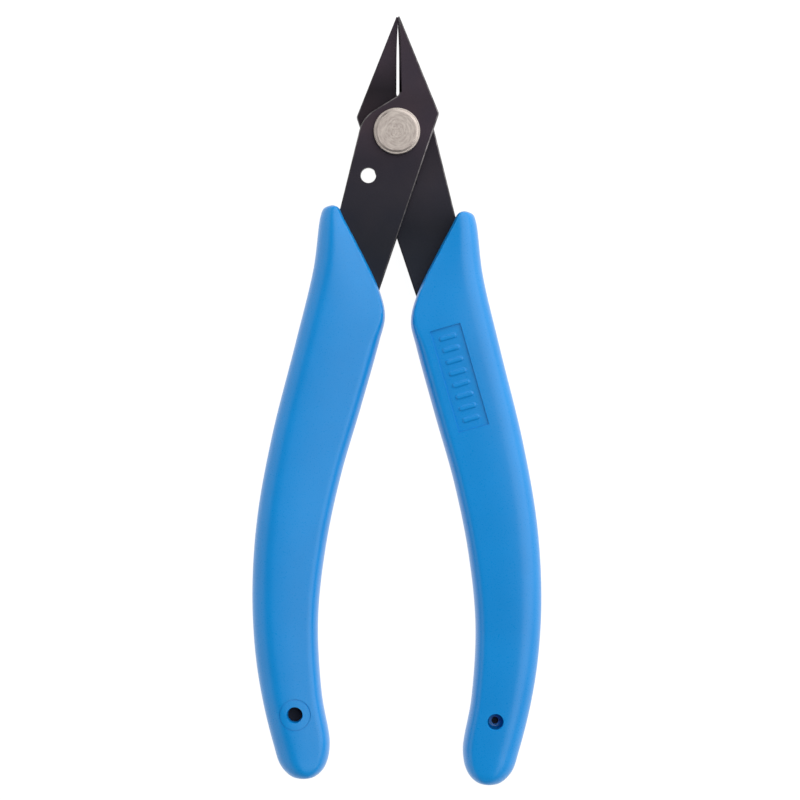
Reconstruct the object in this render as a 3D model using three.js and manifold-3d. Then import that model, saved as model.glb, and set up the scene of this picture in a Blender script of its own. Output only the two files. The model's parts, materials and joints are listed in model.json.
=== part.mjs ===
// Flush cutter for electronics work. Two stamped steel plates turn on one rivet, each plate has a
// moulded grip on its tang, and a wire spring between the plates opens the tool.
// Millimetres, +Z up. The tool lies on the flat backs of its grips with its tips along +Y, and the
// rivet stands along Z. The origin is the middle of the underside of the whole tool's box.

import * as THREE from 'three';
import { mergeVertices } from 'three/addons/utils/BufferGeometryUtils.js';
import Module from 'manifold-3d';

const wasm = await Module();
wasm.setup();

// ---- Driving dimensions ----
// Both halves are drawn as the front one: x and y from the rivet's axis, the jaw on the right, the
// tang and grip on the left, and z = 0 the plane between the plates. The rear half is turned over.

const GRIP_THICKNESS = 9;
const PLATE_THICKNESS = 2;
const PLATE_GAP = 0.06;

// Plate outline.
const TIP_Y = 19.23;
const TIP_FLAT = 0.23;
const TIP_ROUND = 0.2;
const FRONT_JAW_CORNER = [7, 3];
const REAR_JAW_CORNER = [6.75, 2.5];
const JAW_CORNER_ROUND = 0.3;
const CROTCH_END = [-2.9, -26.4];
const SHOULDER = [-5.73, 2.32];
const SHOULDER_ROUND = 2.3;
const NECK_END = [-12.85, -26.7];
const SLIT_ROOT_Y = 5.9;
const SLIT_ROOT_DEPTH = 0.1;
const SLIT_FILLET = 0.65;
const SLIT_HALF_WIDTH = 0.23;
const SLIT_STRAIGHT_TO_Y = 9.3;
const SLIT_BENDS_Y = 14.8;
const SLIT_CLOSES_Y = 17.6;
const JAW_SHIFT = 0.14;
const CUTTING_RELIEF = 0.45;
const RELIEF_REACH = 2;

// Tang, inside the grip.
const TANG_INNER_EDGE = [
  [-7.4, -39.7], [-10.6, -51.7], [-13.6, -65.7], [-15.5, -79.7], [-15.1, -91.7],
];
const TANG_OUTER_EDGE = [
  [-20.5, -87.7], [-20.7, -75.7], [-19.4, -61.7], [-16.9, -47.7], [-14.6, -35.7],
];
const TANG_END = [-16.6, -101.2];
const TANG_END_HALF_WIDTH = 2.4;
const TANG_END_ROUND = 3;

// Holes and rivet.
const SHANK_RADIUS = 2.4;
const SHANK_CHAMFER = 0.3;
const SHANK_CLEARANCE = 0.05;
const HEAD_RADIUS = 3.87;
const HEAD_THICKNESS = 1;
const HEAD_CHAMFER = 0.3;
const COLLAR_THICKNESS = 0.9;
const SEAT_GAP = 0.03;
const RIVETED_END = 0.15;
const ACCESSORY_HOLE = [-4.75, -7.3];
const ACCESSORY_HOLE_RADIUS = 1.28;

// Return spring: half a turn over the shank, with a leg down each side.
const WIRE_RADIUS = 0.45;
const SPRING_RADIUS = 3.05;
const LEG_END = [2.7, -8.5];
const POCKET_DEPTH = 0.5;
const POCKET_CLEARANCE = 0.12;
const OPENING_ANGLE = 14;
const BYPASS_ANGLE = 1.5;
const SWING_SPARE_ANGLE = 1;

// Grip outline, from the nose down each side to the lower end.
const GRIP_NOSE = [-10.85, -12.15];
const GRIP_OUTER_EDGE = [
  [-12.2, -12.75], [-12.75, -14.1], [-13.9, -22.7], [-16.85, -34.9], [-20.8, -50.5],
  [-23.3, -64.3], [-24.1, -76.5], [-23.6, -86.7], [-22.35, -94.7], [-20.55, -102],
  [-19.4, -105.4], [-17.5, -107.3],
];
const GRIP_INNER_EDGE = [
  [-9.75, -12.6], [-8.7, -14.6], [-6.4, -19], [-2.95, -26.3], [-2, -30.7], [-2.95, -34.9],
  [-6.05, -45.9], [-9.4, -57.4], [-11.9, -69.3], [-13.15, -81.3], [-12.55, -93.4],
  [-11.2, -102], [-11.95, -105.5], [-13.5, -107.2],
];
const GRIP_END = [-15.4, -107.75];

// Grip section: how far in from each edge the faces start to fall away.
const OUTER_ROUND = 3.6;
const INNER_ROUND = 1.8;
const MOUTH_ROUND = 0.5;
const MOUTH_ROUND_ENDS_Y = [-28, -37];
const NOSE_ROUND = 1.6;
const END_ROUND = 4.5;
const SECTION_POWER = 2.4;
const GRIP_STATIONS = 44;
const GRIP_COLUMNS = 12;
const STATION_CROWDING = 0.75;

// Marks of the moulding pins that held the tang, and the recessed panel on the other face.
const FRONT_PIN_HOLE = [-16.9, -96.8];
const BACK_PIN_HOLE = [-16.5, -96.9];
const PIN_HOLE_RADIUS = 1.3;
const PIN_STEP_RADIUS = 0.55;
const PIN_STEP_DEPTH = 3;
const PANEL_CENTRE = [-10.1, -40];
const PANEL_SIZE = [5.4, 17.6];
const PANEL_TILT = 16.4;
const PANEL_DEPTH = 0.35;
const TANG_CLEARANCE = 0.05;

// The rear grip sits a little further down and out on its tang.
const REAR_GRIP_SLIP = [-0.55, -0.9];
const REAR_GRIP_TURN = 0.44;

const PLATE_FACE = PLATE_GAP / 2;
const PLATE_BACK = PLATE_FACE + PLATE_THICKNESS;

// Fineness of the curves, and how far a cutting shape runs on past the piece that it cuts.
const CURVE_STEPS = 10;
const ROUND_SEGMENTS = 48;
const HALF_TURN_STEPS = 16;
const WIRE_STEPS = 48;
const WIRE_CURVE_SEGMENTS = 5;
const SWING_STEPS = 6;
const OVERRUN = 1;

const BLACK_STEEL = { color: 0x2d2a30, roughness: 0.42, metalness: 0.9 };
const BLUE_RUBBER = { color: 0x1b86d3, roughness: 0.5, metalness: 0 };
const TURNED_STEEL = { color: 0xb8aea6, roughness: 0.35, metalness: 1 };
const SPRING_WIRE = { color: 0x8f9094, roughness: 0.35, metalness: 1 };

// ---- Booleans ----

function solid(geometry) {
  const bare = new THREE.BufferGeometry();
  bare.setAttribute('position', geometry.attributes.position);
  bare.setIndex(geometry.index);
  const merged = mergeVertices(bare, 1e-5);
  return new wasm.Manifold(new wasm.Mesh({
    numProp: 3,
    vertProperties: new Float32Array(merged.attributes.position.array),
    triVerts: new Uint32Array(merged.index.array),
  }));
}

function toGeometry(body) {
  const mesh = body.getMesh();
  const geometry = new THREE.BufferGeometry();
  geometry.setAttribute('position', new THREE.BufferAttribute(mesh.vertProperties, 3));
  geometry.setIndex(new THREE.BufferAttribute(mesh.triVerts, 1));
  geometry.computeVertexNormals();
  return geometry;
}

function cutAway(body, tools) {
  return tools.reduce((left, tool) => left.subtract(solid(tool)), body);
}

// ---- Small shapes ----

function flatPoints(pairs) {
  return pairs.map(([x, y]) => new THREE.Vector2(x, y));
}

function toward(from, to, distance) {
  const start = new THREE.Vector2(...from);
  return new THREE.Vector2(...to).sub(start).setLength(distance).add(start);
}

// A straight cylinder along Z between two heights.
function post([x, y], radius, low, high) {
  const geometry = new THREE.CylinderGeometry(radius, radius, high - low, ROUND_SEGMENTS);
  return geometry.rotateX(Math.PI / 2).translate(x, y, (low + high) / 2);
}

function slab(points, low, high) {
  const geometry = new THREE.ExtrudeGeometry(new THREE.Shape(points), {
    depth: high - low, bevelEnabled: false,
  });
  return geometry.translate(0, 0, low);
}

// ---- Plates ----

// The outline of one plate. The jaws meet a little to the right of the rivet's axis, so the rear
// plate, which is turned over, is drawn with the opposite shift.
function plateOutline(jawShift, jawCorner) {
  const cuttingX = jawShift + SLIT_HALF_WIDTH;
  const tip = [TIP_FLAT + jawShift, TIP_Y];
  const slitRoot = [jawShift - SLIT_ROOT_DEPTH, SLIT_ROOT_Y];
  const outline = new THREE.Path();

  outline.moveTo(cuttingX, SLIT_ROOT_Y + SLIT_FILLET);
  outline.lineTo(cuttingX, SLIT_STRAIGHT_TO_Y);
  outline.quadraticCurveTo(cuttingX, SLIT_BENDS_Y, jawShift, SLIT_CLOSES_Y);
  outline.lineTo(jawShift, TIP_Y - TIP_ROUND);
  outline.quadraticCurveTo(jawShift, TIP_Y, ...tip);

  const beforeCorner = toward(jawCorner, tip, JAW_CORNER_ROUND);
  const afterCorner = toward(jawCorner, CROTCH_END, JAW_CORNER_ROUND);
  outline.lineTo(beforeCorner.x, beforeCorner.y);
  outline.quadraticCurveTo(...jawCorner, afterCorner.x, afterCorner.y);

  const innerX = TANG_END[0] + TANG_END_HALF_WIDTH;
  const outerX = TANG_END[0] - TANG_END_HALF_WIDTH;
  const roundStart = TANG_END[1] + TANG_END_ROUND;
  outline.lineTo(...CROTCH_END);
  outline.splineThru(flatPoints([...TANG_INNER_EDGE, [innerX, roundStart]]));
  outline.quadraticCurveTo(innerX, TANG_END[1], ...TANG_END);
  outline.quadraticCurveTo(outerX, TANG_END[1], outerX, roundStart);
  outline.splineThru(flatPoints([...TANG_OUTER_EDGE, NECK_END]));

  const beforeShoulder = toward(SHOULDER, NECK_END, SHOULDER_ROUND);
  const afterShoulder = toward(SHOULDER, slitRoot, SHOULDER_ROUND);
  outline.lineTo(beforeShoulder.x, beforeShoulder.y);
  outline.quadraticCurveTo(...SHOULDER, afterShoulder.x, afterShoulder.y);
  outline.lineTo(...slitRoot);
  outline.quadraticCurveTo(cuttingX, SLIT_ROOT_Y + SLIT_ROOT_DEPTH,
    cuttingX, SLIT_ROOT_Y + SLIT_FILLET);
  return outline.getPoints(CURVE_STEPS).slice(0, -1);
}

// The outline moved outward by a distance, for the pocket that the tang sits in.
function grown(points, distance) {
  return points.map((point, i) => {
    const before = points.at(i - 1);
    const after = points[(i + 1) % points.length];
    const along = after.clone().sub(before).normalize();
    return new THREE.Vector2(point.x - along.y * distance, point.y + along.x * distance);
  });
}

// The slanting side of the jaw: full width at the cutting edge, ground back at the outer face.
function reliefCut(jawShift) {
  const edge = jawShift + SLIT_HALF_WIDTH;
  const rise = PLATE_THICKNESS + OVERRUN;
  const lean = CUTTING_RELIEF * rise / PLATE_THICKNESS;
  const section = new THREE.Shape(flatPoints([
    [edge - RELIEF_REACH, 0],
    [edge, 0],
    [edge + lean, rise],
    [edge - RELIEF_REACH, rise],
  ]));
  const length = TIP_Y - SLIT_ROOT_Y;
  const wedge = new THREE.ExtrudeGeometry(section, { depth: length, bevelEnabled: false });
  wedge.rotateX(Math.PI / 2).translate(0, length, 0);
  const turn = Math.atan2(SLIT_HALF_WIDTH, SLIT_CLOSES_Y - SLIT_ROOT_Y);
  return wedge.rotateZ(turn).translate(0, SLIT_ROOT_Y + SLIT_FILLET, PLATE_FACE);
}

// Room in the plate's inner face for one leg of the spring, turned about the rivet.
function legRoom(side, turn) {
  const start = new THREE.Vector2(side * SPRING_RADIUS, 0);
  const end = new THREE.Vector2(side * LEG_END[0], LEG_END[1]);
  const along = end.clone().sub(start).normalize();
  const half = new THREE.Vector2(-along.y, along.x).multiplyScalar(WIRE_RADIUS + POCKET_CLEARANCE);
  end.addScaledVector(along, POCKET_CLEARANCE);
  const sides = [start.clone().sub(half), end.clone().sub(half), end.clone().add(half),
    start.clone().add(half)];
  return slab(sides, PLATE_FACE - OVERRUN, PLATE_FACE + POCKET_DEPTH)
    .rotateZ(THREE.MathUtils.degToRad(turn));
}

// The front plate's own leg stays in a slot on the left. The other plate's leg swings in a fan.
function springPocket() {
  const turnRadius = SPRING_RADIUS + WIRE_RADIUS + POCKET_CLEARANCE;
  const turnRoom = post([0, 0], turnRadius, PLATE_FACE - OVERRUN, PLATE_FACE + POCKET_DEPTH);
  const room = [turnRoom, legRoom(-1, 0)];
  const first = -BYPASS_ANGLE - SWING_SPARE_ANGLE;
  const last = OPENING_ANGLE + SWING_SPARE_ANGLE;
  for (let i = 0; i <= SWING_STEPS; i++) {
    room.push(legRoom(1, THREE.MathUtils.lerp(first, last, i / SWING_STEPS)));
  }
  return room;
}

function plateGeometry(outline, jawShift, holes) {
  const blank = solid(slab(outline, PLATE_FACE, PLATE_BACK));
  const through = [PLATE_FACE - OVERRUN, PLATE_BACK + OVERRUN];
  const bore = post([0, 0], SHANK_RADIUS + SHANK_CLEARANCE, ...through);
  const cuts = [bore, reliefCut(jawShift), ...springPocket()];
  for (const hole of holes) {
    cuts.push(post(hole, ACCESSORY_HOLE_RADIUS, ...through));
  }
  return toGeometry(cutAway(blank, cuts));
}

// ---- Rivet and spring ----

function turned(profile) {
  const points = profile.map(([radius, height]) => new THREE.Vector2(radius, height));
  return new THREE.LatheGeometry(points, ROUND_SEGMENTS).rotateX(Math.PI / 2);
}

function rivetGeometry() {
  const under = PLATE_BACK + SEAT_GAP;
  const top = under + HEAD_THICKNESS;
  const end = -(PLATE_BACK + SEAT_GAP + COLLAR_THICKNESS + RIVETED_END);
  return turned([
    [0, end],
    [SHANK_RADIUS - SHANK_CHAMFER, end],
    [SHANK_RADIUS, end + SHANK_CHAMFER],
    [SHANK_RADIUS, under],
    [HEAD_RADIUS, under],
    [HEAD_RADIUS, top - HEAD_CHAMFER],
    [HEAD_RADIUS - HEAD_CHAMFER, top],
    [0, top],
  ]);
}

function collarGeometry() {
  const bore = SHANK_RADIUS + SHANK_CLEARANCE;
  const face = -(PLATE_BACK + SEAT_GAP);
  const back = face - COLLAR_THICKNESS;
  return turned([
    [bore, back],
    [HEAD_RADIUS - HEAD_CHAMFER, back],
    [HEAD_RADIUS, back + HEAD_CHAMFER],
    [HEAD_RADIUS, face],
    [bore, face],
    [bore, back],
  ]);
}

// The wire's centre line, from the end of the left leg over the rivet to the end of the right one.
function springLine() {
  const turnPoints = [];
  for (let i = 0; i <= HALF_TURN_STEPS; i++) {
    const angle = Math.PI * (1 - i / HALF_TURN_STEPS);
    const point = new THREE.Vector3(Math.cos(angle), Math.sin(angle), 0);
    turnPoints.push(point.multiplyScalar(SPRING_RADIUS));
  }
  const leftEnd = new THREE.Vector3(-LEG_END[0], LEG_END[1], 0);
  const rightEnd = new THREE.Vector3(...LEG_END, 0);
  const leftMiddle = leftEnd.clone().lerp(turnPoints[0], 0.5);
  const rightMiddle = rightEnd.clone().lerp(turnPoints.at(-1), 0.5);
  return new THREE.CatmullRomCurve3([leftEnd, leftMiddle, ...turnPoints, rightMiddle, rightEnd]);
}

function springGeometry() {
  const section = new THREE.Shape();
  section.absarc(0, 0, WIRE_RADIUS, 0, 2 * Math.PI);
  return new THREE.ExtrudeGeometry(section, {
    steps: WIRE_STEPS, curveSegments: WIRE_CURVE_SEGMENTS, extrudePath: springLine(),
  });
}

// ---- Grips ----

function edgeCurve(points) {
  const all = [GRIP_NOSE, ...points, GRIP_END];
  return new THREE.CatmullRomCurve3(all.map(([x, y]) => new THREE.Vector3(x, y, 0)));
}

// Height of the rounded section, 0 at the edge to 1 where the face is flat.
function fall(distance, reach) {
  const left = 1 - Math.min(distance / reach, 1);
  return (1 - left ** SECTION_POWER) ** (1 / SECTION_POWER);
}

// The grip's mouth, where the plate leaves it, has a sharper edge than the side below it.
function innerRound(y) {
  const [mouth, side] = MOUTH_ROUND_ENDS_Y;
  const share = THREE.MathUtils.smoothstep(-y, -mouth, -side);
  return THREE.MathUtils.lerp(MOUTH_ROUND, INNER_ROUND, share);
}

// A closed skin of rings, one at each station from the nose to the end. A ring runs over the top
// face from the outer edge to the inner edge and back under it.
function gripBody() {
  const outer = edgeCurve(GRIP_OUTER_EDGE);
  const inner = edgeCurve(GRIP_INNER_EDGE);
  const length = outer.getLength();
  const positions = [...GRIP_NOSE, 0];
  for (let i = 1; i < GRIP_STATIONS; i++) {
    const t = i / GRIP_STATIONS;
    const along = t - STATION_CROWDING * Math.sin(2 * Math.PI * t) / (2 * Math.PI);
    const from = outer.getPointAt(along);
    const to = inner.getPointAt(along);
    const width = from.distanceTo(to);
    const ends = fall(along * length, NOSE_ROUND) * fall((1 - along) * length, END_ROUND);
    for (let j = 0; j < 2 * GRIP_COLUMNS; j++) {
      const across = (1 - Math.cos(Math.PI * j / GRIP_COLUMNS)) / 2;
      const point = from.clone().lerp(to, across);
      const outerFall = fall(across * width, OUTER_ROUND);
      const innerFall = fall((1 - across) * width, innerRound(point.y));
      const height = ends * outerFall * innerFall * GRIP_THICKNESS / 2;
      positions.push(point.x, point.y, j < GRIP_COLUMNS ? height : -height);
    }
  }
  positions.push(...GRIP_END, 0);
  return skin(positions, GRIP_STATIONS - 1, 2 * GRIP_COLUMNS);
}

function skin(positions, rings, around) {
  const last = positions.length / 3 - 1;
  const at = (ring, j) => 1 + ring * around + (j % around);
  const index = [];
  for (let j = 0; j < around; j++) {
    index.push(0, at(0, j), at(0, j + 1));
    index.push(last, at(rings - 1, j + 1), at(rings - 1, j));
    for (let ring = 0; ring < rings - 1; ring++) {
      index.push(at(ring, j), at(ring + 1, j), at(ring + 1, j + 1));
      index.push(at(ring, j), at(ring + 1, j + 1), at(ring, j + 1));
    }
  }
  const geometry = new THREE.BufferGeometry();
  geometry.setAttribute('position', new THREE.Float32BufferAttribute(positions, 3));
  geometry.setIndex(index);
  return geometry;
}

// The pin hole reaches the steel on the front face. On the back it steps down to a narrow hole.
function pinHoles() {
  const surface = GRIP_THICKNESS / 2;
  const inTang = PLATE_FACE + PLATE_THICKNESS / 2;
  return [
    post(FRONT_PIN_HOLE, PIN_HOLE_RADIUS, inTang, surface + OVERRUN),
    post(BACK_PIN_HOLE, PIN_HOLE_RADIUS, -surface - OVERRUN, PIN_STEP_DEPTH - surface),
    post(BACK_PIN_HOLE, PIN_STEP_RADIUS, -surface, inTang),
  ];
}

function panelRecess() {
  const recess = new THREE.BoxGeometry(...PANEL_SIZE, 2 * PANEL_DEPTH);
  recess.rotateZ(THREE.MathUtils.degToRad(-PANEL_TILT));
  return recess.translate(...PANEL_CENTRE, -GRIP_THICKNESS / 2);
}

function gripGeometry(seat, tangOutline) {
  const room = grown(tangOutline, TANG_CLEARANCE);
  const pocket = slab(room, PLATE_FACE - TANG_CLEARANCE, PLATE_BACK + TANG_CLEARANCE);
  const moulding = solid(gripBody().applyMatrix4(seat));
  const marks = [...pinHoles(), panelRecess()].map((mark) => mark.applyMatrix4(seat));
  return toGeometry(cutAway(moulding, [...marks, pocket]));
}

// ---- Assembly ----

function piece(name, geometry, finish) {
  const mesh = new THREE.Mesh(geometry, new THREE.MeshStandardMaterial(finish));
  mesh.name = name;
  return mesh;
}

function buildHalf(name, jawShift, jawCorner, seat, holes) {
  const half = new THREE.Group();
  const outline = plateOutline(jawShift, jawCorner);
  half.add(piece(`${name}_blade`, plateGeometry(outline, jawShift, holes), BLACK_STEEL));
  half.add(piece(`${name}_grip`, gripGeometry(seat, outline), BLUE_RUBBER));
  half.position.z = GRIP_THICKNESS / 2;
  return half;
}

const frontSeat = new THREE.Matrix4();
const frontHalf = buildHalf('front', JAW_SHIFT, FRONT_JAW_CORNER, frontSeat, [ACCESSORY_HOLE]);
frontHalf.add(piece('pivot_rivet', rivetGeometry(), TURNED_STEEL));
frontHalf.add(piece('rivet_collar', collarGeometry(), TURNED_STEEL));
frontHalf.add(piece('return_spring', springGeometry(), SPRING_WIRE));

const rearSeat = new THREE.Matrix4().makeRotationZ(THREE.MathUtils.degToRad(REAR_GRIP_TURN))
  .setPosition(...REAR_GRIP_SLIP, 0);
const rearHalf = buildHalf('rear', -JAW_SHIFT, REAR_JAW_CORNER, rearSeat, []);
rearHalf.rotation.y = Math.PI;

const flushCutter = new THREE.Group();
flushCutter.add(frontHalf, rearHalf);
const box = new THREE.Box3().setFromObject(flushCutter, true);
const middle = box.getCenter(new THREE.Vector3());
flushCutter.position.set(-middle.x, -middle.y, -box.min.z);

export default flushCutter;
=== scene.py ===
"""Looks of the flush cutter: two blackened steel plates on a turned rivet, blue moulded grips."""

import json
import math

import bmesh
import bpy
import numpy as np
from mathutils import Matrix, Vector
from mathutils.bvhtree import BVHTree


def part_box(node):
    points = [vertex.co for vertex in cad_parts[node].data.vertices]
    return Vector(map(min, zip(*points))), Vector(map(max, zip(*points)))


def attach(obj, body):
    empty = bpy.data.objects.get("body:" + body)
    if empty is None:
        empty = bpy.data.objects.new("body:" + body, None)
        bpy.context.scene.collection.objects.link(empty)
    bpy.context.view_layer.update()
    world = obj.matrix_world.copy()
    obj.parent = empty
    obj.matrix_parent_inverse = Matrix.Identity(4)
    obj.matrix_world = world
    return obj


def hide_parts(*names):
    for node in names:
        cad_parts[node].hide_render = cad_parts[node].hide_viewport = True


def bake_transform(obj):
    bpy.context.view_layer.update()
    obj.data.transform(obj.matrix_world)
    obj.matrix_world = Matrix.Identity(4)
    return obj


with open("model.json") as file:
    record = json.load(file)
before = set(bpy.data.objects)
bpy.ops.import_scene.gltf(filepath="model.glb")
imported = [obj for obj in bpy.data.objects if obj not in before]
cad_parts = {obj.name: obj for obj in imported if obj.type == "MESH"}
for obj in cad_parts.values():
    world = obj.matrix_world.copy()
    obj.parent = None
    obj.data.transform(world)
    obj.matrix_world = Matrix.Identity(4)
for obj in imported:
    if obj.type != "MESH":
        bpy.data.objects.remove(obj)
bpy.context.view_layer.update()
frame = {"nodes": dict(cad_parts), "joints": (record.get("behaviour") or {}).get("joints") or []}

# ---- Sizes, in millimetres unless a comment says otherwise ----

MM = 0.001
PIVOT = Vector(frame["joints"][0]["pos_m"])  # in metres, as the frame is
MIDDLE_HEIGHT = PIVOT.z / MM

# Grip outline, as the frame's grips are drawn: from the rivet's axis, front grip, nose to end.
GRIP_NOSE = (-10.85, -12.15)
GRIP_OUTER_EDGE = [
    (-12.2, -12.75), (-12.75, -14.1), (-13.9, -22.7), (-16.85, -34.9), (-20.8, -50.5),
    (-23.3, -64.3), (-24.1, -76.5), (-23.6, -86.7), (-22.35, -94.7), (-20.55, -102),
    (-19.4, -105.4), (-17.5, -107.3),
]
GRIP_INNER_EDGE = [
    (-9.75, -12.6), (-8.7, -14.6), (-6.4, -19), (-2.95, -26.3), (-2, -30.7), (-2.95, -34.9),
    (-6.05, -45.9), (-9.4, -57.4), (-11.9, -69.3), (-13.15, -81.3), (-12.55, -93.4),
    (-11.2, -102), (-11.95, -105.5), (-13.5, -107.2),
]
GRIP_END = (-15.4, -107.75)

# Grip section.
GRIP_HALF_THICKNESS = 4.5
OUTER_ROUND = 3.6
INNER_ROUND = 1.8
MOUTH_ROUND = 0.5
MOUTH_ROUND_ENDS_Y = (-28, -37)
NOSE_ROUND = 1.6
END_ROUND = 4.5
SECTION_POWER = 2.4
CROWN_FALL = 0.17
CROWN_STARTS = 0.28
CROWN_ENDS = 1.25
GRIP_STATIONS = 220
GRIP_COLUMNS = 44
STATION_CROWDING = 0.75

# Marks in the grips.
FRONT_PIN_HOLE = (-16.9, -96.8)
BACK_PIN_HOLE = (-16.5, -96.9)
PIN_HOLE_RADIUS = 1.3
PIN_FLOOR_RADIUS = 1.15
PIN_STEP_RADIUS = 0.58
PIN_HOLE_DEPTH = 2.6
PIN_STEP_DEPTH = 3.4
PIN_STEP_ROUND = 0.5
PIN_NARROW_DEPTH = 5.5
PIN_RIM = 0.1
PIN_RING_RADIUS = 2.55
PIN_RING_WIDTH = 0.18
PIN_RING_DEPTH = 0.09
PANEL_CENTRE = (-10.1, -40)
PANEL_SIZE = (5.4, 17.6)
PANEL_TILT = math.radians(16.4)
PANEL_DEPTH = 0.32
PANEL_GRID_STEP = 0.1
RIB_COUNT = 8
RIB_PITCH = 2.0
RIB_WIDTH = 0.9
RIB_LENGTH = 3.1
RIB_HEIGHT = 0.2
RIB_SLOPE = 0.2

# How far the tools that cut the marks reach out of the grip, and how far from its middle the rays
# that find its surface start.
PLUG_OVERCUT = 1
RING_OVERCUT = 0.3
PANEL_OVERCUT = 1
PANEL_APEX_OVERCUT = 3
RAY_START = 20

# The rear grip sits a little further down and out on its tang, as in the frame.
REAR_GRIP_SLIP = (-0.55, -0.9)
REAR_GRIP_TURN = math.radians(0.44)

# Steel.
PLATE_THICKNESS = 2.0
PLATE_EDGE_BREAK = 0.2
TIP_EDGE_BREAK = 0.04
HOLE_EDGE_BREAK = 0.06
EDGE_BREAK_SEGMENTS = 3
EDGE_THINS_FROM_Y = 12.0
TIP_Y = 19.23
BORE_EDGE_REACH = 3
ACCESSORY_HOLE = (-4.75, -7.3)
ACCESSORY_HOLE_RADIUS = 1.28
ACCESSORY_HOLE_MARGIN = 0.1
SHANK_RADIUS = 2.4
SHANK_END_ROUND = 0.3
SHANK_CLEARANCE = 0.05
SEAT_GAP = 0.03
FACE_RADIUS = 3.25
HEAD_SLOPE = 0.33
HEAD_STEP = 0.16
HEAD_RIM = 0.15
HEAD_CHAMFER = 0.1
COLLAR_RIM = 0.3
COLLAR_BORE_CHAMFER = 0.12
WIRE_RADIUS = 0.45
WIRE_SIDES = 16
SPRING_RADIUS = 3.05
SPRING_TURN_STEPS = 32
LEG_END = (2.7, -8.5)
LEG_POINTS = 14
LEG_SHARE = 0.95
ROUND_SEGMENTS = 160
RING_SEGMENTS = 64

# The frame's plates are cleaned by welding points this near and merging faces this flat.
WELD_DISTANCE = 0.002
FLAT_ANGLE = math.radians(0.5)

# A plate's faces are told apart by a wall's share of the thickness and by limits on a normal's z.
WALL_SHARE = 0.7
UPRIGHT_NORMAL = 0.1
LEVEL_NORMAL = 0.99
FLAT_SHADED_NORMAL = 0.999

# The angle between two faces, in degrees, from which the edge between them is shaded sharp.
PLATE_SHARP_ANGLE = 25
GRIP_SHARP_ANGLE = 24
RIVET_SHARP_ANGLE = 15
COLLAR_SHARP_ANGLE = 30
SPRING_SHARP_ANGLE = 40

# Surface marks, in metres.
GRAIN_DEPTH = 0.000006
TURNING_DEPTH = 0.000012
TURNING_STREAK = 0.0006

# Most values of a noise lie in its middle. Tones are stops of a ramp: (noise value, linear RGB).
NOISE_MIDDLE = (0.3, 0.7)
RUBBER_TONES = [(0.25, (0.0008, 0.217, 0.58)), (0.75, (0.0014, 0.240, 0.63))]
OXIDE_TONES = [(0.3, (0.036, 0.031, 0.040)), (0.7, (0.047, 0.037, 0.043))]
# The broken edges' steel is lighter, partly for wear and partly as a painted highlight that the
# edges catch.
WORN_EDGE_AND_HIGHLIGHT_TONES = [(0.35, (0.08, 0.073, 0.077)), (0.75, (0.25, 0.23, 0.234))]
TURNED_TONES = [(0.3, (0.33, 0.285, 0.26)), (0.7, (0.52, 0.465, 0.425))]
WIRE_TONES = [(0.3, (0.22, 0.22, 0.22)), (0.7, (0.33, 0.33, 0.33))]
FLOOR_TONES = [(0, (0.07, 0.07, 0.07)), (1, (0.09, 0.09, 0.09))]

# How light the steel is along a plate, as (y from the rivet's axis, share of full lightness). The
# oxide is also tinted: by COOL_TINT near the grips and by WARM_TINT at the jaws.
PLATE_LOW_Y = -27
PLATE_HIGH_Y = 19
FRONT_PLATE_SHADES = [
    (-27, 0.4), (-19, 0.33), (-10, 0.52), (-5, 0.6), (0, 0.95), (5, 0.8), (8, 0.95), (19, 0.9),
]
# The rear plate's dip from y 3 to 12, deepest at 7, is painted shadow: the front plate's boss edge
# shading the rear jaw.
REAR_PLATE_SHADES = [
    (-27, 0.5), (-22, 0.38), (-16, 0.32), (-9, 0.58), (3, 0.5), (7, 0.33), (12, 0.88), (19, 1.0),
]
# Along the broken edges, a painted highlight: brightest just below the jaw's corner, fading down
# the plate.
PAINTED_EDGE_HIGHLIGHT_SHADES = [
    (-27, 0.3), (-14, 0.4), (-6, 0.6), (-1, 1.0), (3, 0.75), (8, 0.5), (19, 0.45),
]
COOL_TINT = (1.0, 1.4, 1.65)
WARM_TINT = (1.0, 0.88, 0.97)
COOL_BELOW_Y = -22
WARM_ABOVE_Y = 0

# Camera and studio, in metres and degrees. A brightness is a radiance.
CAMERA_DISTANCE = 0.6
VIEW_WIDTH = 0.13333
VIEW_CENTRE = (0.00052, 0.00013)
CEILING_BRIGHTNESS = 0.05
WALL_BRIGHTNESS = 0.6
SOFTBOX_DISTANCE = 0.7
KEY = {"azimuth": 38, "from_zenith": 43, "size": (1.4, 1.2), "brightness": 2.0}
FILL = {"azimuth": 180, "from_zenith": 66, "size": (1.4, 0.6), "brightness": 0.7}
FLOOR_BRIGHTNESS = 0.98
FLOOR_REACH = 3.0
FLOOR_DROP = 0.0001


# ---- Node helpers ----

def new_material(name):
    material = bpy.data.materials.new(name)
    material.use_nodes = True
    nodes = material.node_tree.nodes
    return material, nodes, material.node_tree.links, nodes["Principled BSDF"]


def add_noise(nodes, links, vector, scale, detail):
    noise = nodes.new("ShaderNodeTexNoise")
    noise.inputs["Scale"].default_value = scale
    noise.inputs["Detail"].default_value = detail
    links.new(vector, noise.inputs["Vector"])
    return noise.outputs["Fac"]


def add_ramp(nodes, links, value, stops):
    """A colour ramp. stops is a list of (place, colour)."""
    ramp = nodes.new("ShaderNodeValToRGB")
    elements = ramp.color_ramp.elements
    while len(elements) < len(stops):
        elements.new(0.5)
    for element, (place, colour) in zip(elements, stops):
        element.position = place
        element.color = (*colour, 1)
    links.new(value, ramp.inputs["Fac"])
    return ramp.outputs["Color"]


def add_range(nodes, links, value, low, high):
    """Spreads the middle of a noise value over low to high."""
    spread = nodes.new("ShaderNodeMapRange")
    spread.inputs["From Min"].default_value = NOISE_MIDDLE[0]
    spread.inputs["From Max"].default_value = NOISE_MIDDLE[1]
    spread.inputs["To Min"].default_value = low
    spread.inputs["To Max"].default_value = high
    links.new(value, spread.inputs["Value"])
    return spread.outputs["Result"]


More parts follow.
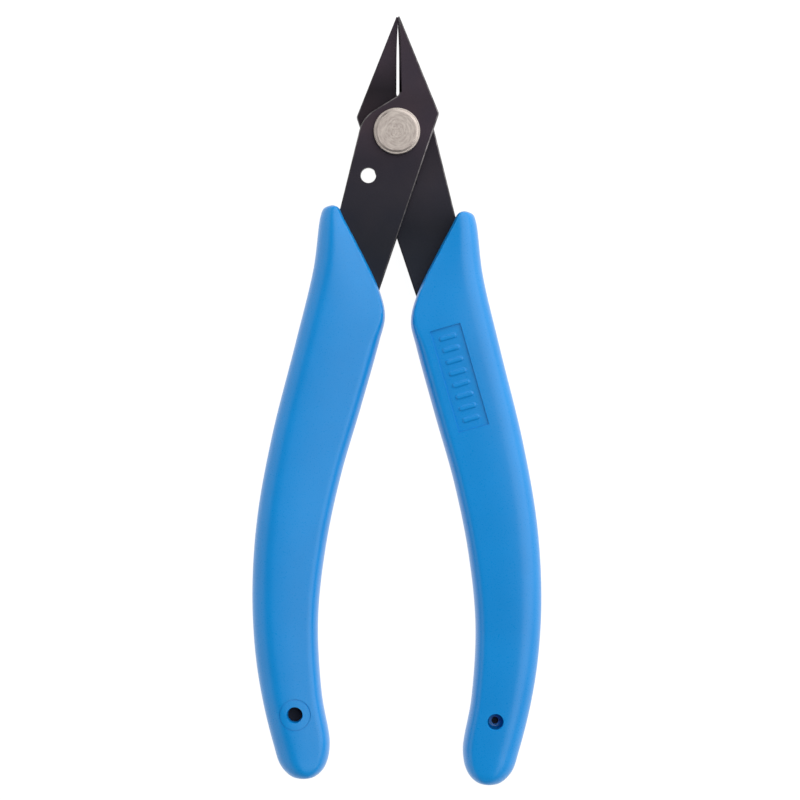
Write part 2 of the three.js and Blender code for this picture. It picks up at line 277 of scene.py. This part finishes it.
def add_bump(nodes, links, height, distance):
    bump = nodes.new("ShaderNodeBump")
    bump.inputs["Strength"].default_value = 1.0
    bump.inputs["Distance"].default_value = distance
    links.new(height, bump.inputs["Height"])
    return bump.outputs["Normal"]


def object_coordinates(nodes):
    return nodes.new("ShaderNodeTexCoord").outputs["Object"]


def grey(value):
    return (value, value, value)


# ---- Materials ----

def grip_rubber():
    material, nodes, links, shader = new_material("blue_grip_rubber")
    place = object_coordinates(nodes)
    broad = add_noise(nodes, links, place, scale=90, detail=3)
    fine = add_noise(nodes, links, place, scale=5200, detail=2)
    colour = add_ramp(nodes, links, broad, RUBBER_TONES)
    links.new(colour, shader.inputs["Base Color"])
    links.new(add_range(nodes, links, fine, low=0.26, high=0.36), shader.inputs["Roughness"])
    links.new(add_bump(nodes, links, fine, GRAIN_DEPTH), shader.inputs["Normal"])
    shader.inputs["Specular IOR Level"].default_value = 0.44
    return material


def oxide_shade(y, share):
    """A colour that the oxide is multiplied by at a place along the plate."""
    warmth = min(max((y - COOL_BELOW_Y) / (WARM_ABOVE_Y - COOL_BELOW_Y), 0), 1)
    tints = zip(COOL_TINT, WARM_TINT)
    return tuple(share * (cool + (warm - cool) * warmth) for cool, warm in tints)


def shade_along_plate(nodes, links, colour, shades):
    """Multiplies a colour by one that changes along the plate. shades is a list of (y, colour)."""
    axes = nodes.new("ShaderNodeSeparateXYZ")
    links.new(object_coordinates(nodes), axes.inputs["Vector"])
    along = nodes.new("ShaderNodeMapRange")
    along.inputs["From Min"].default_value = PIVOT.y + PLATE_LOW_Y * MM
    along.inputs["From Max"].default_value = PIVOT.y + PLATE_HIGH_Y * MM
    links.new(axes.outputs["Y"], along.inputs["Value"])
    length = PLATE_HIGH_Y - PLATE_LOW_Y
    stops = [((y - PLATE_LOW_Y) / length, shade) for y, shade in shades]
    shade = add_ramp(nodes, links, along.outputs["Result"], stops)
    product = nodes.new("ShaderNodeMix")
    product.data_type = "RGBA"
    product.blend_type = "MULTIPLY"
    product.inputs["Factor"].default_value = 1.0
    links.new(colour, product.inputs["A"])
    links.new(shade, product.inputs["B"])
    return product.outputs["Result"]


def black_steel(name, shares):
    """Mottled oxide whose lightness and tint change along the plate. The shares may hold painted
    shade, as the rear plate's do by the boss.
    """
    material, nodes, links, shader = new_material(name)
    place = object_coordinates(nodes)
    broad = add_noise(nodes, links, place, scale=140, detail=4)
    fine = add_noise(nodes, links, place, scale=3800, detail=3)
    oxide = add_ramp(nodes, links, broad, OXIDE_TONES)
    shades = [(y, oxide_shade(y, share)) for y, share in shares]
    links.new(shade_along_plate(nodes, links, oxide, shades), shader.inputs["Base Color"])
    links.new(add_range(nodes, links, fine, low=0.40, high=0.52), shader.inputs["Roughness"])
    links.new(add_bump(nodes, links, fine, GRAIN_DEPTH), shader.inputs["Normal"])
    shader.inputs["Metallic"].default_value = 0.6
    shader.inputs["Specular IOR Level"].default_value = 0.25
    return material


def worn_edge_and_painted_highlight_steel():
    # Steel on the broken edges: partly wear, partly a painted highlight, which is brightest just
    # below the jaw's corner.
    material, nodes, links, shader = new_material("worn_edge_and_painted_highlight_steel")
    wear_and_highlight = add_noise(nodes, links, object_coordinates(nodes), scale=900, detail=3)
    colour = add_ramp(nodes, links, wear_and_highlight, WORN_EDGE_AND_HIGHLIGHT_TONES)
    shades = [(y, grey(share)) for y, share in PAINTED_EDGE_HIGHLIGHT_SHADES]
    links.new(shade_along_plate(nodes, links, colour, shades), shader.inputs["Base Color"])
    links.new(add_range(nodes, links, wear_and_highlight, low=0.45, high=0.32), shader.inputs["Roughness"])
    shader.inputs["Metallic"].default_value = 0.9
    return material


def turned_steel():
    """Steel with fine marks that run round the rivet's axis."""
    material, nodes, links, shader = new_material("turned_steel")
    flat = nodes.new("ShaderNodeVectorMath")
    flat.operation = "MULTIPLY_ADD"
    flat.inputs[1].default_value = (1, 1, 0)
    flat.inputs[2].default_value = (-PIVOT.x, -PIVOT.y, 0)
    links.new(object_coordinates(nodes), flat.inputs[0])
    radius = nodes.new("ShaderNodeVectorMath")
    radius.operation = "LENGTH"
    links.new(flat.outputs["Vector"], radius.inputs[0])
    outward_way = nodes.new("ShaderNodeVectorMath")
    outward_way.operation = "NORMALIZE"
    links.new(flat.outputs["Vector"], outward_way.inputs[0])
    height = nodes.new("ShaderNodeCombineXYZ")
    links.new(radius.outputs["Value"], height.inputs["Z"])
    wrapped = nodes.new("ShaderNodeVectorMath")
    wrapped.operation = "MULTIPLY_ADD"
    wrapped.inputs[1].default_value = (TURNING_STREAK, TURNING_STREAK, 0)
    links.new(outward_way.outputs["Vector"], wrapped.inputs[0])
    links.new(height.outputs["Vector"], wrapped.inputs[2])
    marks = add_noise(nodes, links, wrapped.outputs["Vector"], scale=4200, detail=4)
    colour = add_ramp(nodes, links, marks, TURNED_TONES)
    links.new(colour, shader.inputs["Base Color"])
    links.new(add_range(nodes, links, marks, low=0.36, high=0.5), shader.inputs["Roughness"])
    links.new(add_bump(nodes, links, marks, TURNING_DEPTH), shader.inputs["Normal"])
    shader.inputs["Metallic"].default_value = 1.0
    return material


def spring_steel():
    material, nodes, links, shader = new_material("spring_wire_steel")
    drawn = add_noise(nodes, links, object_coordinates(nodes), scale=1600, detail=3)
    colour = add_ramp(nodes, links, drawn, WIRE_TONES)
    links.new(colour, shader.inputs["Base Color"])
    links.new(add_range(nodes, links, drawn, low=0.25, high=0.4), shader.inputs["Roughness"])
    shader.inputs["Metallic"].default_value = 1.0
    return material


def studio_floor_material():
    material, nodes, links, shader = new_material("pale_floor")
    tone = add_noise(nodes, links, object_coordinates(nodes), scale=12, detail=2)
    links.new(add_ramp(nodes, links, tone, FLOOR_TONES), shader.inputs["Base Color"])
    shader.inputs["Roughness"].default_value = 0.9
    shader.inputs["Emission Color"].default_value = (1, 1, 1, 1)
    shader.inputs["Emission Strength"].default_value = FLOOR_BRIGHTNESS
    return material


# ---- Mesh helpers ----

def add_object(name, mesh, *materials):
    piece = bpy.data.objects.new(name, mesh)
    bpy.context.scene.collection.objects.link(piece)
    for material in materials:
        mesh.materials.append(material)
    return piece


def mesh_from(name, vertices, faces):
    """A mesh from millimetre vertices."""
    mesh = bpy.data.meshes.new(name)
    mesh.from_pydata([tuple(c * MM for c in v) for v in vertices], [], faces)
    mesh.validate()
    return mesh


def outward(mesh):
    """Turns a closed mesh's faces outward."""
    shape = bmesh.new()
    shape.from_mesh(mesh)
    bmesh.ops.recalc_face_normals(shape, faces=shape.faces)
    shape.to_mesh(mesh)
    shape.free()


def smooth_except_edges(piece, angle):
    """Smooth shading, apart from edges whose faces meet at more than the angle in degrees."""
    piece.data.shade_smooth()
    piece.data.set_sharp_from_angle(angle=math.radians(angle))


def apply_modifiers(piece):
    """Leaves the piece with the mesh its modifiers make."""
    bpy.context.view_layer.update()
    seen = piece.evaluated_get(bpy.context.evaluated_depsgraph_get())
    final = bpy.data.meshes.new_from_object(seen)
    piece.modifiers.clear()
    piece.data = final


def add_difference(piece, tool):
    modifier = piece.modifiers.new(tool.name, "BOOLEAN")
    modifier.operation = "DIFFERENCE"
    modifier.object = tool
    modifier.solver = "EXACT"


def remove(*pieces):
    for piece in pieces:
        bpy.data.objects.remove(piece)


def turned_mesh(name, profile):
    """A solid turned round Z from (radius, height) points that start and end on the axis."""
    inner = profile[1:-1]
    vertices = [(0, 0, profile[0][1])]
    for radius, height in inner:
        for i in range(ROUND_SEGMENTS):
            angle = 2 * math.pi * i / ROUND_SEGMENTS
            vertices.append((radius * math.cos(angle), radius * math.sin(angle), height))
    vertices.append((0, 0, profile[-1][1]))
    faces = []
    for i in range(ROUND_SEGMENTS):
        after = (i + 1) % ROUND_SEGMENTS
        faces.append((0, 1 + after, 1 + i))
        for ring in range(len(inner) - 1):
            low, high = 1 + ring * ROUND_SEGMENTS, 1 + (ring + 1) * ROUND_SEGMENTS
            faces.append((low + i, low + after, high + after, high + i))
        last = 1 + (len(inner) - 1) * ROUND_SEGMENTS
        faces.append((last + i, last + after, len(vertices) - 1))
    return mesh_from(name, vertices, faces)


def ring_faces(sections, corners):
    """Faces of a tube that closes on itself, as a number of sections with a number of corners."""
    faces = []
    for i in range(sections):
        here, there = i * corners, (i + 1) % sections * corners
        for j in range(corners):
            after = (j + 1) % corners
            faces.append((here + j, there + j, there + after, here + after))
    return faces


def arc(centre, radius, start, end, steps):
    """Points of an arc between two angles in degrees."""
    angles = [math.radians(start + (end - start) * i / steps) for i in range(steps + 1)]
    return [(centre[0] + radius * math.cos(a), centre[1] + radius * math.sin(a)) for a in angles]


# ---- Plates ----

def is_side_wall(face):
    """Whether a face is a wall that stands through most of the plate's thickness."""
    heights = [vertex.co.z / MM for vertex in face.verts]
    tall = max(heights) - min(heights) > WALL_SHARE * PLATE_THICKNESS
    return tall and abs(face.normal.z) < UPRIGHT_NORMAL


def edge_break(edge):
    """How wide an edge's rounding is: thinner at the tips, none at the bore or in the pocket."""
    level = [face for face in edge.link_faces if abs(face.normal.z) > LEVEL_NORMAL]
    walls = [face for face in edge.link_faces if is_side_wall(face)]
    if len(level) != 1 or len(walls) != 1:
        return 0.0
    middle = ((edge.verts[0].co + edge.verts[1].co) / 2 - PIVOT) / MM
    if math.hypot(middle.x, middle.y) < BORE_EDGE_REACH:
        return 0.0
    if math.dist(middle.xy, ACCESSORY_HOLE) < ACCESSORY_HOLE_RADIUS + ACCESSORY_HOLE_MARGIN:
        return HOLE_EDGE_BREAK
    thinning = ease(middle.y, EDGE_THINS_FROM_Y, TIP_Y)
    return PLATE_EDGE_BREAK + (TIP_EDGE_BREAK - PLATE_EDGE_BREAK) * thinning


def finished_plate(node, name, body, plate_material, edge_material):
    """The frame's plate with the edges of its outline and of its accessory hole broken."""
    mesh = frame["nodes"][node].data.copy()
    mesh.materials.clear()
    shape = bmesh.new()
    shape.from_mesh(mesh)
    bmesh.ops.remove_doubles(shape, verts=shape.verts, dist=WELD_DISTANCE * MM)
    bmesh.ops.dissolve_limit(shape, angle_limit=FLAT_ANGLE, verts=shape.verts, edges=shape.edges)
    weight = shape.edges.layers.float.new("bevel_weight_edge")
    for edge in shape.edges:
        edge[weight] = edge_break(edge) / PLATE_EDGE_BREAK
    shape.to_mesh(mesh)
    shape.free()
    plate = add_object(name, mesh, plate_material, edge_material)
    bevel = plate.modifiers.new("edge_break", "BEVEL")
    bevel.width = PLATE_EDGE_BREAK * MM
    bevel.segments = EDGE_BREAK_SEGMENTS
    bevel.limit_method = "WEIGHT"
    bevel.use_clamp_overlap = False
    bevel.material = 1
    apply_modifiers(plate)
    smooth_except_edges(plate, PLATE_SHARP_ANGLE)
    for polygon in plate.data.polygons:
        polygon.use_smooth = abs(polygon.normal.z) < FLAT_SHADED_NORMAL
    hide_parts(node)
    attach(plate, body)


# ---- Grips ----

def smooth_line(points, steps=24):
    """A centripetal Catmull-Rom curve through the points, as (distance along it, place) arrays."""
    knots = np.array(points, float)
    knots = np.vstack([2 * knots[0] - knots[1], knots, 2 * knots[-1] - knots[-2]])
    line = []
    for a, b, c, d in zip(knots, knots[1:], knots[2:], knots[3:]):
        t0 = 0.0
        t1 = t0 + np.linalg.norm(b - a) ** 0.5
        t2 = t1 + np.linalg.norm(c - b) ** 0.5
        t3 = t2 + np.linalg.norm(d - c) ** 0.5
        t = np.linspace(t1, t2, steps, endpoint=False)[:, None]
        ab = (a * (t1 - t) + b * (t - t0)) / (t1 - t0)
        bc = (b * (t2 - t) + c * (t - t1)) / (t2 - t1)
        cd = (c * (t3 - t) + d * (t - t2)) / (t3 - t2)
        abc = (ab * (t2 - t) + bc * (t - t0)) / (t2 - t0)
        bcd = (bc * (t3 - t) + cd * (t - t1)) / (t3 - t1)
        line.append((abc * (t2 - t) + bcd * (t - t1)) / (t2 - t1))
    line = np.vstack([*line, knots[-2:-1]])
    distance = np.concatenate([[0], np.cumsum(np.linalg.norm(np.diff(line, axis=0), axis=1))])
    return distance, line


def place_on(line, share):
    """The place at a share of a line's length."""
    distance, points = line
    at = share * distance[-1]
    return np.array([np.interp(at, distance, points[:, 0]), np.interp(at, distance, points[:, 1])])


def fall(distance, reach):
    """Height of the rounded section, 0 at the edge to 1 where the face is flat."""
    left = 1 - min(distance / reach, 1)
    return (1 - left ** SECTION_POWER) ** (1 / SECTION_POWER)


def ease(value, start, end):
    """Rises smoothly from 0 at start to 1 at end."""
    t = min(max((value - start) / (end - start), 0), 1)
    return t * t * (3 - 2 * t)


def crown(across):
    """The face falls away a little from its ridge towards the inner edge."""
    return 1 - CROWN_FALL * ease(across, CROWN_STARTS, CROWN_ENDS)


def moulding_mesh(name):
    """One grip's skin, in the front grip's place, with z = 0 in the middle of its thickness."""
    outer = smooth_line([GRIP_NOSE, *GRIP_OUTER_EDGE, GRIP_END])
    inner = smooth_line([GRIP_NOSE, *GRIP_INNER_EDGE, GRIP_END])
    length = outer[0][-1]
    around = 2 * GRIP_COLUMNS
    vertices = [(*GRIP_NOSE, 0)]
    for i in range(1, GRIP_STATIONS):
        t = i / GRIP_STATIONS
        along = t - STATION_CROWDING * math.sin(2 * math.pi * t) / (2 * math.pi)
        start = place_on(outer, along)
        end = place_on(inner, along)
        width = np.linalg.norm(end - start)
        ends = fall(along * length, NOSE_ROUND) * fall((1 - along) * length, END_ROUND)
        for j in range(around):
            across = (1 - math.cos(math.pi * j / GRIP_COLUMNS)) / 2
            x, y = start + (end - start) * across
            inner_reach = MOUTH_ROUND + (INNER_ROUND - MOUTH_ROUND) * ease(y, *MOUTH_ROUND_ENDS_Y)
            rounded = fall(across * width, OUTER_ROUND) * fall((1 - across) * width, inner_reach)
            side = 1 if j < GRIP_COLUMNS else -1
            vertices.append((x, y, side * ends * rounded * crown(across) * GRIP_HALF_THICKNESS))
    vertices.append((*GRIP_END, 0))
    last = len(vertices) - 1
    rings = GRIP_STATIONS - 1
    faces = []
    for j in range(around):
        after = (j + 1) % around
        faces.append((0, 1 + j, 1 + after))
        low = 1 + (rings - 1) * around
        faces.append((last, low + after, low + j))
        for ring in range(rings - 1):
            low, high = 1 + ring * around, 1 + (ring + 1) * around
            faces.append((low + j, high + j, high + after, low + after))
    mesh = mesh_from(name, vertices, faces)
    outward(mesh)
    return mesh


def surface_at(tree, place, side):
    """The point of the moulding over (side 1) or under (side -1) a place."""
    start = Vector((place[0] * MM, place[1] * MM, side * RAY_START * MM))
    return tree.ray_cast(start, Vector((0, 0, -side)))[0]


def cutter(name, mesh, where):
    """A tool that is cut out of a grip, moved by the matrix where."""
    tool = add_object(name, mesh)
    tool.data.transform(where)
    outward(tool.data)
    return tool


def plug_mouth():
    """The upper end of a plug's profile, which flares out to break the hole's rim."""
    wide = PIN_HOLE_RADIUS + PIN_RIM
    return [(PIN_HOLE_RADIUS, -PIN_RIM), (wide, PIN_RIM), (wide, PLUG_OVERCUT), (0, PLUG_OVERCUT)]


def tapered_plug(name):
    """A plug that narrows a little towards its flat floor."""
    floor = [(0, -PIN_HOLE_DEPTH), (PIN_FLOOR_RADIUS, -PIN_HOLE_DEPTH)]
    return turned_mesh(name, [*floor, *plug_mouth()])


def stepped_plug(name):
    """A plug whose floor has a round corner and goes on as a narrow hole."""
    narrow = [
        (0, -PIN_NARROW_DEPTH),
        (PIN_STEP_RADIUS, -PIN_NARROW_DEPTH),
        (PIN_STEP_RADIUS, -PIN_STEP_DEPTH),
    ]
    centre = (PIN_HOLE_RADIUS - PIN_STEP_ROUND, PIN_STEP_ROUND - PIN_STEP_DEPTH)
    corner = arc(centre, PIN_STEP_ROUND, -90, 0, steps=5)
    return turned_mesh(name, [*narrow, *corner, *plug_mouth()])


def groove_mesh(name, tree, place, radius):
    """A thin ring that follows the front face round a place, and cuts a circular groove in it."""
    vertices = []
    for i in range(RING_SEGMENTS):
        angle = 2 * math.pi * i / RING_SEGMENTS
        way = np.array([math.cos(angle), math.sin(angle)])
        height = surface_at(tree, np.array(place) + radius * way, 1).z / MM
        near = np.array(place) + (radius - PIN_RING_WIDTH / 2) * way
        far = np.array(place) + (radius + PIN_RING_WIDTH / 2) * way
        low, high = height - PIN_RING_DEPTH, height + RING_OVERCUT
        vertices += [(*near, low), (*far, low), (*far, high), (*near, high)]
    return mesh_from(name, vertices, ring_faces(RING_SEGMENTS, 4))


def pin_tools(tree):
    """The hole and the ring round it on the front face, and the deep stepped hole on the back."""
    front = Matrix.Translation(surface_at(tree, FRONT_PIN_HOLE, 1))
    turned_over = Matrix.Rotation(math.pi, 4, "X")
    back = Matrix.Translation(surface_at(tree, BACK_PIN_HOLE, -1)) @ turned_over
    ring = groove_mesh("ring", tree, FRONT_PIN_HOLE, PIN_RING_RADIUS)
    return [
        cutter("hole", tapered_plug("hole"), front),
        cutter("stepped_hole", stepped_plug("stepped_hole"), back),
        cutter("ring", ring, Matrix()),
    ]


def rib_height(across, along):
    """How far the panel's floor stands up at a place: a row of low bars with round ends."""
    place = along / RIB_PITCH + (RIB_COUNT - 1) / 2
    nearest = min(max(round(place), 0), RIB_COUNT - 1)
    past_end = max(abs(across) - (RIB_LENGTH - RIB_WIDTH) / 2, 0)
    from_axis = math.hypot(past_end, (place - nearest) * RIB_PITCH)
    return RIB_HEIGHT * (1 - ease(from_axis, RIB_WIDTH / 2 - RIB_SLOPE, RIB_WIDTH / 2))


def panel_tool(tree):
    """A block that sinks the panel into the back face, with its ribs left standing."""
    centre = np.array(PANEL_CENTRE)
    lengthwise = np.array([math.sin(PANEL_TILT), math.cos(PANEL_TILT)])
    crosswise = np.array([lengthwise[1], -lengthwise[0]])
    columns, rows = (round(side / PANEL_GRID_STEP) + 1 for side in PANEL_SIZE)
    vertices = []
    for row in range(rows):
        along = PANEL_SIZE[1] * (row / (rows - 1) - 0.5)
        for column in range(columns):
            across = PANEL_SIZE[0] * (column / (columns - 1) - 0.5)
            x, y = centre + across * crosswise + along * lengthwise
            surface = surface_at(tree, (x, y), -1).z / MM
            on_rim = row in (0, rows - 1) or column in (0, columns - 1)
            depth = -PANEL_OVERCUT if on_rim else PANEL_DEPTH - rib_height(across, along)
            vertices.append((x, y, surface + depth))
    faces = []
    for row in range(rows - 1):
        for column in range(columns - 1):
            corner = row * columns + column
            faces.append((corner, corner + 1, corner + columns + 1, corner + columns))
    low_end = list(range(columns))
    right_side = [row * columns + columns - 1 for row in range(1, rows)]
    high_end = [(rows - 1) * columns + column for column in range(columns - 2, -1, -1)]
    left_side = [row * columns for row in range(rows - 2, 0, -1)]
    rim = [*low_end, *right_side, *high_end, *left_side]
    apex = len(vertices)
    vertices.append((*PANEL_CENTRE, -GRIP_HALF_THICKNESS - PANEL_APEX_OVERCUT))
    faces += [(after, corner, apex) for corner, after in zip(rim, rim[1:] + rim[:1])]
    return mesh_from("panel", vertices, faces)


def finished_grip(node, name, body, seat, rubber):
    """The moulding with its marks, carried from the front grip's place by the matrix seat."""
    mesh = moulding_mesh(name)
    corners = [vertex.co for vertex in mesh.vertices]
    tree = BVHTree.FromPolygons(corners, [polygon.vertices for polygon in mesh.polygons])
    cuts = [*pin_tools(tree), cutter("panel", panel_tool(tree), Matrix())]
    grip = add_object(name, mesh, rubber)
    for cut in cuts:
        add_difference(grip, cut)
    apply_modifiers(grip)
    remove(*cuts)
    grip.data.transform(seat)
    outward(grip.data)
    smooth_except_edges(grip, GRIP_SHARP_ANGLE)
    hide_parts(node)
    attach(grip, body)


# ---- Rivet and spring ----

def turned_size(box):
    """The radius of a turned node, and its lowest and highest heights from the tool's middle."""
    lowest, highest = box
    radius = (highest.x - lowest.x) / 2 / MM
    return radius, lowest.z / MM - MIDDLE_HEIGHT, highest.z / MM - MIDDLE_HEIGHT


def rivet_profile():
    """Shank, underside and head: a low land with a rounded rim round a flat turned face."""
    radius, low, high = turned_size(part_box("pivot_rivet"))
    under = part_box("front_blade")[1].z / MM - MIDDLE_HEIGHT + SEAT_GAP
    land = high - HEAD_STEP
    end_centre = (SHANK_RADIUS - SHANK_END_ROUND, low + SHANK_END_ROUND)
    rim_centre = (radius - HEAD_RIM, land - HEAD_RIM)
    return [
        (0, low),
        *arc(end_centre, SHANK_END_ROUND, -90, 0, steps=5),
        (SHANK_RADIUS, under),
        (radius - HEAD_CHAMFER, under),
        (radius, under + HEAD_CHAMFER),
        *arc(rim_centre, HEAD_RIM, 0, 90, steps=8),
        (FACE_RADIUS + HEAD_SLOPE, land),
        (FACE_RADIUS, high),
        (0, high),
    ]


def collar_profile():
    """A disc with a rounded rim and a chamfer round its bore, both on its outer side."""
    radius, low, high = turned_size(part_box("rivet_collar"))
    bore = SHANK_RADIUS + SHANK_CLEARANCE
    rim_centre = (radius - COLLAR_RIM, low + COLLAR_RIM)
    return [
        (bore, low + COLLAR_BORE_CHAMFER),
        (bore + COLLAR_BORE_CHAMFER, low),
        *arc(rim_centre, COLLAR_RIM, -90, 0, steps=6),
        (radius, high),
        (bore, high),
    ]


def ring_mesh(name, profile):
    """A ring turned round Z from a closed (radius, height) profile."""
    vertices = []
    for i in range(ROUND_SEGMENTS):
        angle = 2 * math.pi * i / ROUND_SEGMENTS
        vertices += [(r * math.cos(angle), r * math.sin(angle), z) for r, z in profile]
    mesh = mesh_from(name, vertices, ring_faces(ROUND_SEGMENTS, len(profile)))
    outward(mesh)
    return mesh


def finished_rivet(material):
    rivet = add_object("turned_rivet", turned_mesh("turned_rivet", rivet_profile()), material)
    rivet.data.transform(Matrix.Translation(PIVOT))
    smooth_except_edges(rivet, RIVET_SHARP_ANGLE)
    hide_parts("pivot_rivet")
    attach(rivet, "front_half")


def finished_collar(material):
    collar = add_object("turned_collar", ring_mesh("turned_collar", collar_profile()), material)
    collar.data.transform(Matrix.Translation(PIVOT))
    smooth_except_edges(collar, COLLAR_SHARP_ANGLE)
    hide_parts("rivet_collar")
    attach(collar, "front_half")


def spring_centreline():
    """Up the left leg, half a turn over the shank and down the right leg."""
    turn = arc((0, 0), SPRING_RADIUS, 180, 0, SPRING_TURN_STEPS)
    spread = LEG_END[0] - SPRING_RADIUS
    shares = np.linspace(0, LEG_SHARE, LEG_POINTS)
    left_leg = [(spread * t - LEG_END[0], LEG_END[1] * (1 - t)) for t in shares]
    right_leg = [(-x, y) for x, y in reversed(left_leg)]
    return left_leg + turn + right_leg


def spring_mesh(name):
    line = [Vector((x, y, 0)) for x, y in spring_centreline()]
    vertices = []
    for i, point in enumerate(line):
        ahead = (line[min(i + 1, len(line) - 1)] - line[max(i - 1, 0)]).normalized()
        across = Vector((-ahead.y, ahead.x, 0))
        for j in range(WIRE_SIDES):
            angle = 2 * math.pi * j / WIRE_SIDES
            offset = across * math.cos(angle) + Vector((0, 0, 1)) * math.sin(angle)
            vertices.append(tuple(point + offset * WIRE_RADIUS))
    last = len(vertices) - WIRE_SIDES
    faces = [tuple(range(WIRE_SIDES)), tuple(range(last, len(vertices)))]
    for here in range(0, last, WIRE_SIDES):
        there = here + WIRE_SIDES
        for j in range(WIRE_SIDES):
            after = (j + 1) % WIRE_SIDES
            faces.append((here + j, here + after, there + after, there + j))
    mesh = mesh_from(name, vertices, faces)
    outward(mesh)
    return mesh


def finished_spring(material):
    """The wire, with its half turn over the shank, has its transform baked in and is on neither
    half.
    """
    spring = add_object("bent_spring", spring_mesh("bent_spring"), material)
    spring.data.transform(Matrix.Translation(PIVOT))
    smooth_except_edges(spring, SPRING_SHARP_ANGLE)
    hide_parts("return_spring")
    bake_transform(spring)


# ---- Camera, light and floor ----

def add_camera():
    """Straight over the tool, as far off as a product camera with a long lens."""
    data = bpy.data.cameras.new("camera")
    data.lens = data.sensor_width * CAMERA_DISTANCE / VIEW_WIDTH
    camera = bpy.data.objects.new("camera", data)
    camera.location = (*VIEW_CENTRE, MIDDLE_HEIGHT * MM + CAMERA_DISTANCE)
    bpy.context.scene.collection.objects.link(camera)
    bpy.context.scene.camera = camera


def add_softbox(name, azimuth, from_zenith, size, brightness):
    """A soft box that faces the origin, which is the middle of the tool."""
    data = bpy.data.lights.new(name, "AREA")
    data.shape = "RECTANGLE"
    data.size, data.size_y = size
    data.energy = brightness * math.pi * size[0] * size[1]
    light = bpy.data.objects.new(name, data)
    flat = SOFTBOX_DISTANCE * math.sin(math.radians(from_zenith))
    turn = math.radians(azimuth)
    height = SOFTBOX_DISTANCE * math.cos(math.radians(from_zenith))
    place = Vector((flat * math.cos(turn), flat * math.sin(turn), height))
    light.location = place
    light.rotation_euler = place.to_track_quat("Z", "Y").to_euler()
    light.visible_camera = False
    bpy.context.scene.collection.objects.link(light)


def add_world():
    """A white backdrop for the camera. It lights the tool more from its walls than from above."""
    world = bpy.data.worlds.new("studio")
    world.use_nodes = True
    nodes = world.node_tree.nodes
    links = world.node_tree.links
    background = nodes["Background"]
    background.inputs["Color"].default_value = (1, 1, 1, 1)
    axes = nodes.new("ShaderNodeSeparateXYZ")
    links.new(nodes.new("ShaderNodeTexCoord").outputs["Generated"], axes.inputs["Vector"])
    room = nodes.new("ShaderNodeMapRange")
    room.inputs["To Min"].default_value = WALL_BRIGHTNESS
    room.inputs["To Max"].default_value = CEILING_BRIGHTNESS
    links.new(axes.outputs["Z"], room.inputs["Value"])
    strength = nodes.new("ShaderNodeMix")
    strength.inputs["B"].default_value = 1.0
    links.new(nodes.new("ShaderNodeLightPath").outputs["Is Camera Ray"], strength.inputs["Factor"])
    links.new(room.outputs["Result"], strength.inputs["A"])
    links.new(strength.outputs["Result"], background.inputs["Strength"])
    bpy.context.scene.world = world


def add_floor():
    sides = ((-1, -1), (1, -1), (1, 1), (-1, 1))
    corners = [(x * FLOOR_REACH, y * FLOOR_REACH, 0) for x, y in sides]
    floor_mesh = bpy.data.meshes.new("floor")
    floor_mesh.from_pydata(corners, [], [(0, 1, 2, 3)])
    floor = add_object("floor", floor_mesh, studio_floor_material())
    floor.location.z = -FLOOR_DROP


def add_studio():
    add_world()
    add_softbox("key_wall_on_the_right", **KEY)
    add_softbox("low_fill_on_the_left", **FILL)
    add_floor()


def front_seat():
    return Matrix.Translation(PIVOT)


def rear_seat():
    slip = Matrix.Translation((REAR_GRIP_SLIP[0] * MM, REAR_GRIP_SLIP[1] * MM, 0))
    turned_over = Matrix.Rotation(math.pi, 4, "Y")
    return Matrix.Translation(PIVOT) @ turned_over @ slip @ Matrix.Rotation(REAR_GRIP_TURN, 4, "Z")


bpy.context.scene.view_settings.view_transform = "Standard"
add_camera()
add_studio()
rubber = grip_rubber()
front_oxide = black_steel("front_black_oxide", FRONT_PLATE_SHADES)
# The rear plate's oxide also carries painted shadow on its jaw beside the front plate's boss.
rear_oxide_and_painted_shadow = black_steel("rear_black_oxide_and_painted_shadow", REAR_PLATE_SHADES)
# The edge steel paints a highlight along the broken edges, as well as their wear.
wear_and_highlight = worn_edge_and_painted_highlight_steel()
bright = turned_steel()
finished_plate("front_blade", "front_blade_finished", "front_half", front_oxide, wear_and_highlight)
finished_plate("rear_blade", "rear_blade_finished", "rear_half", rear_oxide_and_painted_shadow, wear_and_highlight)
finished_grip("front_grip", "front_grip_moulding", "front_half", front_seat(), rubber)
finished_grip("rear_grip", "rear_grip_moulding", "rear_half", rear_seat(), rubber)
finished_rivet(bright)
finished_collar(bright)
finished_spring(spring_steel())
